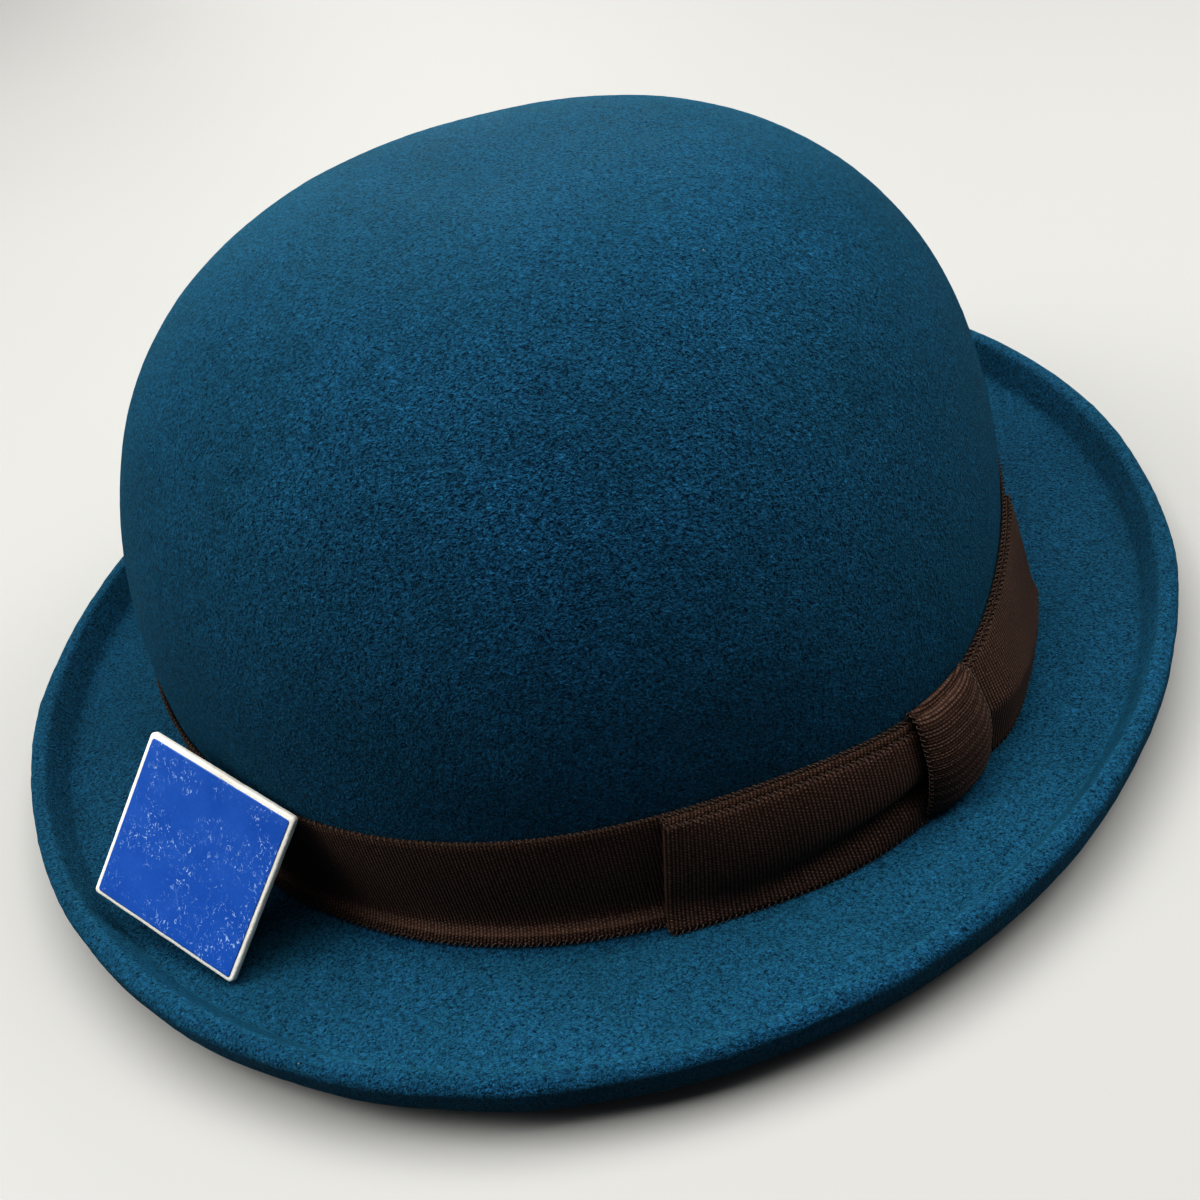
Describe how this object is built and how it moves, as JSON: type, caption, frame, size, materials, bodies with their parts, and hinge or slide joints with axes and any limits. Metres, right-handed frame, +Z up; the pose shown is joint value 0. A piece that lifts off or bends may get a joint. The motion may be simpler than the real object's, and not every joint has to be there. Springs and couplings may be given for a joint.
{
  "type": "bowler hat",
  "caption": "Bowler hat in petrol-blue wool felt: domed crown, upturned rolled brim, dark ribbon band with a flat side bow, lined inside, with a blank square swing tag.",
  "frame": {"origin": "middle of the head opening, on the surface that the brim rests on", "axes": "+Z up through the crown, -Y towards the front of the hat, +X towards the wearer's left, where the bow is"},
  "size_m": [0.2626, 0.2706, 0.109],
  "materials": {
    "felt": "dense short-napped wool felt",
    "grosgrain": "ribbed grosgrain ribbon, dull sheen",
    "sweatband_leather": "smooth fine-grained",
    "sweatband_piping": "taped cord",
    "thread": "twisted thread",
    "satin_lining": "satin weave",
    "woven_label": "woven tape",
    "tag_card": "uncoated board",
    "tag_print": "satin print, lightly scuffed"
  },
  "bodies": {
    "hat": {"felt_body": "felt", "hatband": "grosgrain", "bow_ribbon": "grosgrain", "bow_knot": "grosgrain", "sweatband": "sweatband_leather", "sweatband_reed": "sweatband_piping", "sweatband_thread": "thread", "lining_side": "satin_lining", "lining_tip": "satin_lining", "size_label": "woven_label", "care_label": "woven_label"},
    "tag": {"tag_board": "tag_card", "tag_face": "tag_print"}
  },
  "joints": [
    {"name": "tag_lift", "type": "slide", "parent": "hat", "child": "tag", "axis": [0, 0, 1], "range_m": [0, 0.08]}
  ]
}
